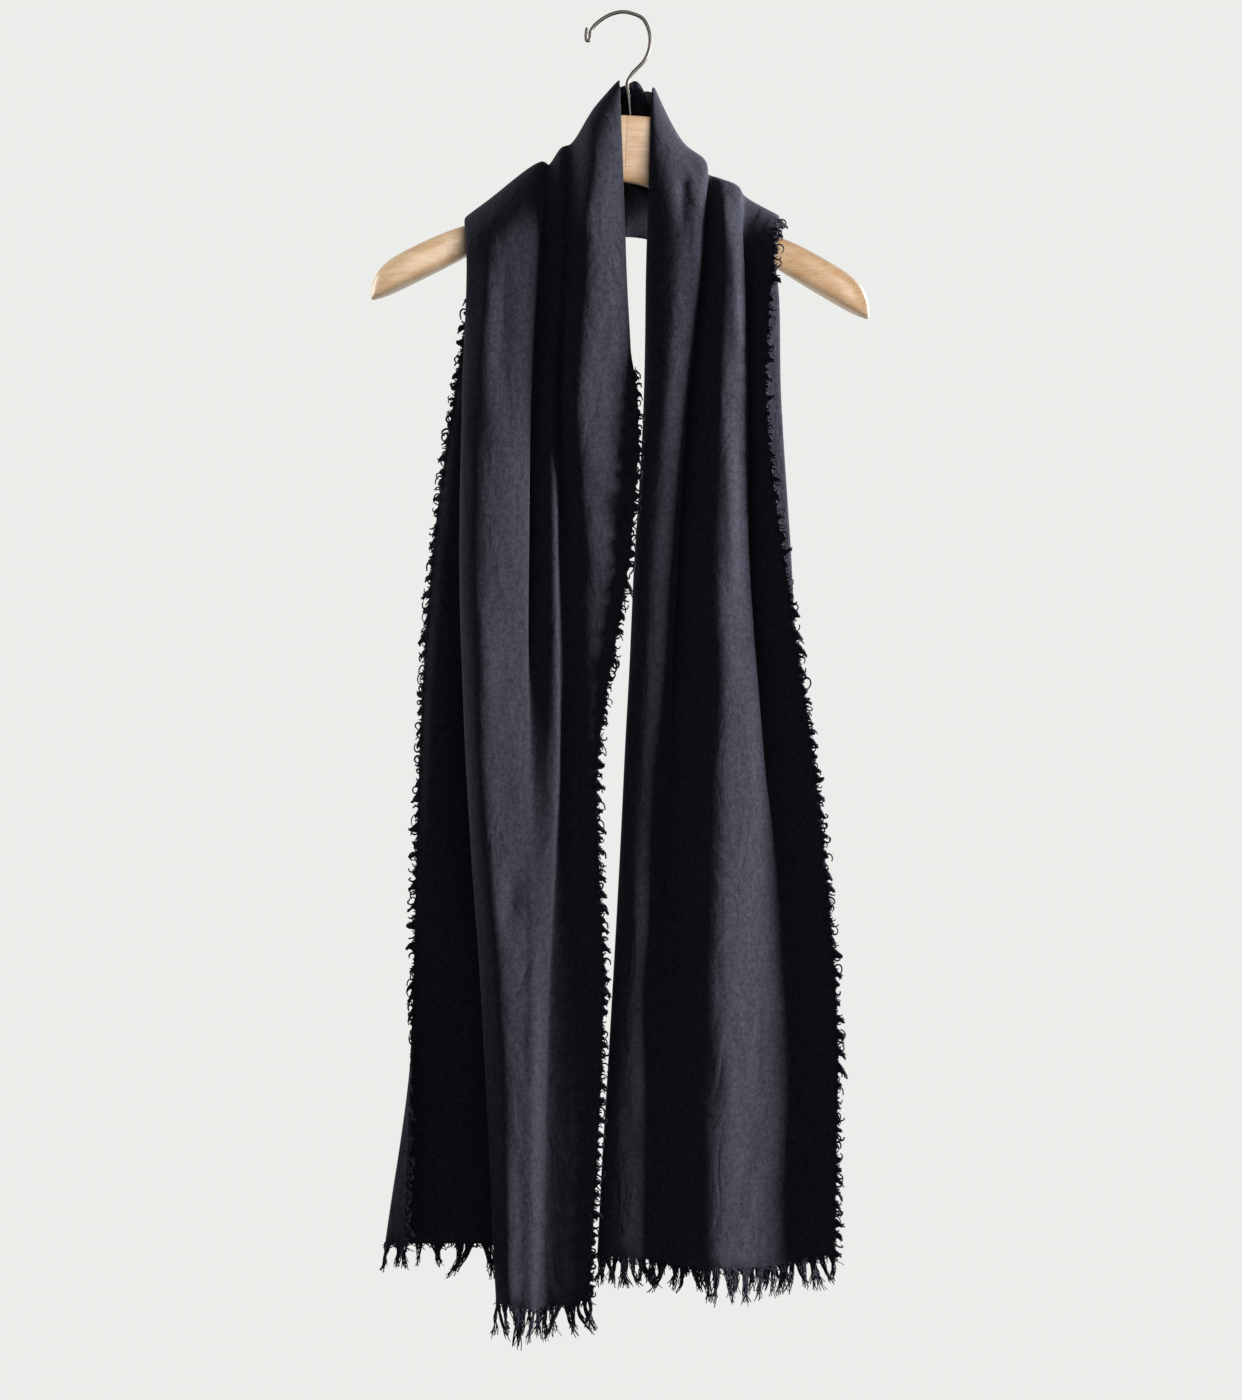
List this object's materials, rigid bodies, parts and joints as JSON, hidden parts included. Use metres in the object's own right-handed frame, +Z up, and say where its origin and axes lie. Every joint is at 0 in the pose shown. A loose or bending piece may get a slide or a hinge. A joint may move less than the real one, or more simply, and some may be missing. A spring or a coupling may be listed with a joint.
{
  "type": "fringed shawl on a wooden coat hanger",
  "caption": "Dark fringed wool shawl draped round the neck of a wooden coat hanger with a wire hook, both ends hanging in soft lengthwise folds.",
  "frame": {"origin": "inside top of the hook's curve, where a rail carries the hanger", "axes": "+Z up, +X to the right seen from the front of the shawl, -Y towards its front"},
  "size_m": [0.3994, 0.1216, 1.062],
  "materials": {
    "cloth": "matte brushed wool",
    "yarn": "matte loose yarn",
    "beech": "satin lacquer",
    "steel": "dark worn nickel plate"
  },
  "bodies": {
    "root": {"shawl_left_fall": "cloth", "shawl_neck_wrap": "cloth", "shawl_right_fall": "cloth", "fringe_left_back_hem": "yarn", "fringe_left_front_hem": "yarn", "fringe_right_hem": "yarn", "fray_left_outer": "yarn", "fray_left_inner": "yarn", "fray_right_outer": "yarn", "fray_right_inner": "yarn", "hanger_left_half": "beech", "hanger_right_half": "beech", "hook_wire": "steel", "hook_tip": "steel"}
  },
  "joints": []
}
